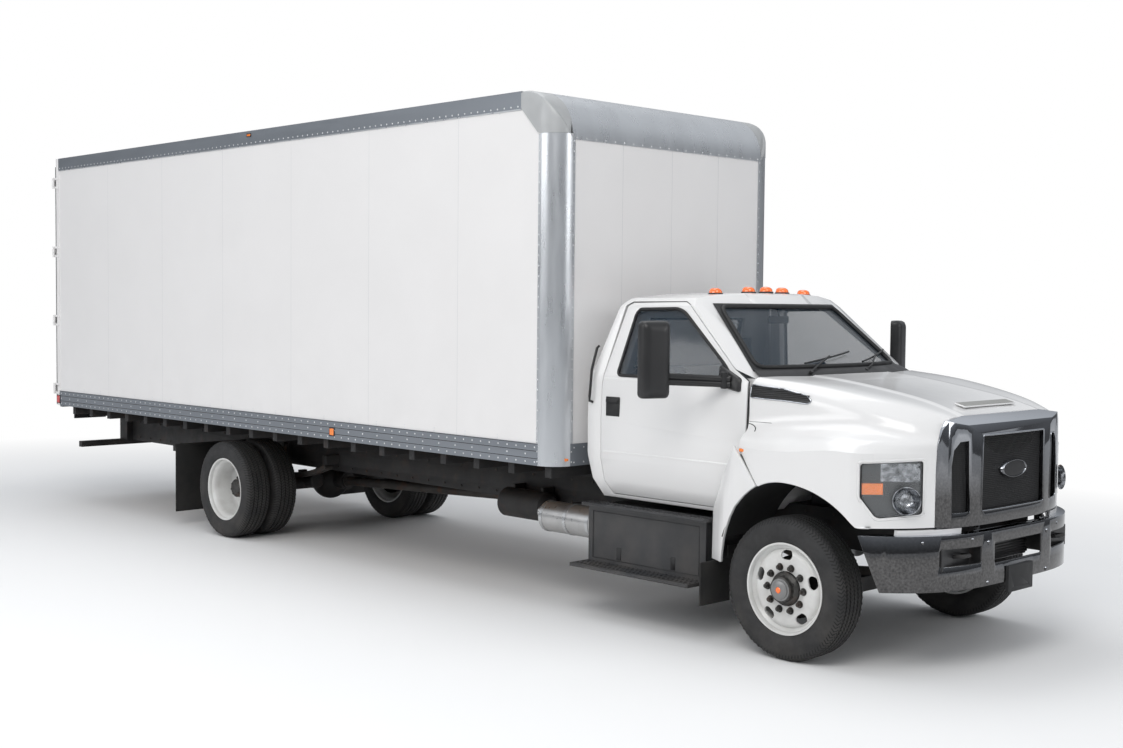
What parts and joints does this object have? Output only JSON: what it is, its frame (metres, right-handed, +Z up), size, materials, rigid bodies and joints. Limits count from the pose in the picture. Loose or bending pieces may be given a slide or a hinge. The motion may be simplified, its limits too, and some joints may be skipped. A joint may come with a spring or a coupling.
{
  "type": "box truck",
  "caption": "Conventional-cab box truck: ladder frame, tilting hood, hinged doors, steered front wheels, twin rear wheels and a tall van body.",
  "frame": {"origin": "middle of the bounding box on the ground", "axes": "+X forward, +Y to the truck's left, +Z up"},
  "size_m": [11.224, 3.1304, 3.85],
  "materials": {
    "cab_white": "gloss white paint",
    "body_white": "smooth white panel",
    "wheel_white": "white painted steel wheel",
    "chassis_black": "satin black paint",
    "box_black": "black paint with a worn tread",
    "spring_steel": "dark oiled steel",
    "engine_iron": "cast iron, painted grey",
    "chrome_trim": "chrome",
    "exhaust_steel": "dull stainless sheet",
    "tank_aluminium": "bright aluminium",
    "rail_aluminium": "mill-finish aluminium",
    "post_aluminium": "bright aluminium sheet",
    "roof_aluminium": "thin aluminium sheet",
    "cap_casting": "light grey casting",
    "flap_rubber": "matte black rubber",
    "tyre": "black tyre rubber",
    "trim_black": "textured black plastic",
    "interior_grey": "grained grey plastic",
    "seat_fabric": "grey cloth",
    "floor_wood": "laminated hardwood boards",
    "window_glass": "tinted glass",
    "lamp_glass": "clear lamp cover"
  },
  "bodies": {
    "chassis": {"frame": "chassis_black", "front_axle": "chassis_black", "rear_axle": "chassis_black", "leaf_springs": "spring_steel", "driveshaft": "spring_steel", "engine": "engine_iron", "front_bumper": "chrome_trim", "exhaust_canister": "exhaust_steel", "side_box": "box_black", "fuel_tank": "tank_aluminium", "mudflaps": "flap_rubber", "rear_bumper": "chassis_black", "cab_shell": "cab_white", "cab_glass": "window_glass", "cowl": "trim_black", "cowl_sides": "cab_white", "dashboard": "interior_grey", "seats": "seat_fabric", "cargo_floor": "floor_wood", "floor_sills": "chassis_black", "cargo_sides": "body_white", "cargo_front": "body_white", "cargo_roof": "roof_aluminium", "bottom_rails": "rail_aluminium", "top_rails": "rail_aluminium", "corner_posts": "post_aluminium", "nose_roll": "post_aluminium", "corner_caps": "cap_casting", "rear_frame": "body_white"},
    "hood_assembly": {"hood": "cab_white", "grille_surround": "chrome_trim", "grille_mesh": "trim_black", "headlights": "lamp_glass"},
    "cab_door_right": {"door_right": "cab_white", "door_glass_right": "window_glass", "mirror_right": "trim_black"},
    "cab_door_left": {"door_left": "cab_white", "door_glass_left": "window_glass", "mirror_left": "trim_black"},
    "steer_knuckle_right": {"knuckle_right": "chassis_black"},
    "steer_knuckle_left": {"knuckle_left": "chassis_black"},
    "track_rod": {"tie_rod": "chassis_black"},
    "hand_wheel": {"steering_wheel": "interior_grey"},
    "wheel_front_right": {"front_rim_right": "wheel_white", "front_tyre_right": "tyre"},
    "wheel_front_left": {"front_rim_left": "wheel_white", "front_tyre_left": "tyre"},
    "wheels_rear_right": {"rear_rims_right": "wheel_white", "rear_tyres_right": "tyre"},
    "wheels_rear_left": {"rear_rims_left": "wheel_white", "rear_tyres_left": "tyre"},
    "load_door_right": {"cargo_door_right": "body_white"},
    "load_door_left": {"cargo_door_left": "body_white"}
  },
  "joints": [
    {"name": "hood_tilt", "type": "hinge", "parent": "chassis", "child": "hood_assembly", "pos_m": [5.53, 0, 0.9], "axis": [0, 1, 0], "range_deg": [0, 50]},
    {"name": "cab_door_right_hinge", "type": "hinge", "parent": "chassis", "child": "cab_door_right", "pos_m": [4.202, -1.062, 1.336], "axis": [0, 0, 1], "range_deg": [0, 65]},
    {"name": "cab_door_left_hinge", "type": "hinge", "parent": "chassis", "child": "cab_door_left", "pos_m": [4.202, 1.062, 1.336], "axis": [0, 0, -1], "range_deg": [0, 65]},
    {"name": "steer_right", "type": "hinge", "parent": "chassis", "child": "steer_knuckle_right", "pos_m": [4.572, -0.85, 0.465], "axis": [0, 0, 1], "range_deg": [-35, 35]},
    {"name": "steer_left", "type": "hinge", "parent": "chassis", "child": "steer_knuckle_left", "pos_m": [4.572, 0.85, 0.465], "axis": [0, 0, 1], "range_deg": [-35, 35]},
    {"name": "track_rod_joint", "type": "hinge", "parent": "steer_knuckle_right", "child": "track_rod", "pos_m": [4.372, -0.85, 0.354], "axis": [0, 0, 1], "range_deg": [-35, 35]},
    {"name": "hand_wheel_turn", "type": "hinge", "parent": "chassis", "child": "hand_wheel", "pos_m": [3.6666, 0.38, 1.6602], "axis": [-0.8988, 0, 0.4384], "range_deg": [-560, 560]},
    {"name": "front_right_spin", "type": "hinge", "parent": "steer_knuckle_right", "child": "wheel_front_right", "pos_m": [4.572, -1.012, 0.465], "axis": [0, 1, 0], "continuous": true},
    {"name": "front_left_spin", "type": "hinge", "parent": "steer_knuckle_left", "child": "wheel_front_left", "pos_m": [4.572, 1.012, 0.465], "axis": [0, 1, 0], "continuous": true},
    {"name": "rear_right_spin", "type": "hinge", "parent": "chassis", "child": "wheels_rear_right", "pos_m": [-2.032, -0.975, 0.465], "axis": [0, 1, 0], "continuous": true},
    {"name": "rear_left_spin", "type": "hinge", "parent": "chassis", "child": "wheels_rear_left", "pos_m": [-2.032, 0.975, 0.465], "axis": [0, 1, 0], "continuous": true},
    {"name": "load_door_right_hinge", "type": "hinge", "parent": "chassis", "child": "load_door_right", "pos_m": [-5.576, -1.29, 2.4], "axis": [0, 0, 1], "range_deg": [0, 250]},
    {"name": "load_door_left_hinge", "type": "hinge", "parent": "chassis", "child": "load_door_left", "pos_m": [-5.576, 1.29, 2.4], "axis": [0, 0, -1], "range_deg": [0, 250]}
  ],
  "couplings": [
    {"joint": "steer_left", "follows": "steer_right", "ratio": 1},
    {"joint": "track_rod_joint", "follows": "steer_right", "ratio": -1},
    {"joint": "hand_wheel_turn", "follows": "steer_right", "ratio": 16}
  ]
}
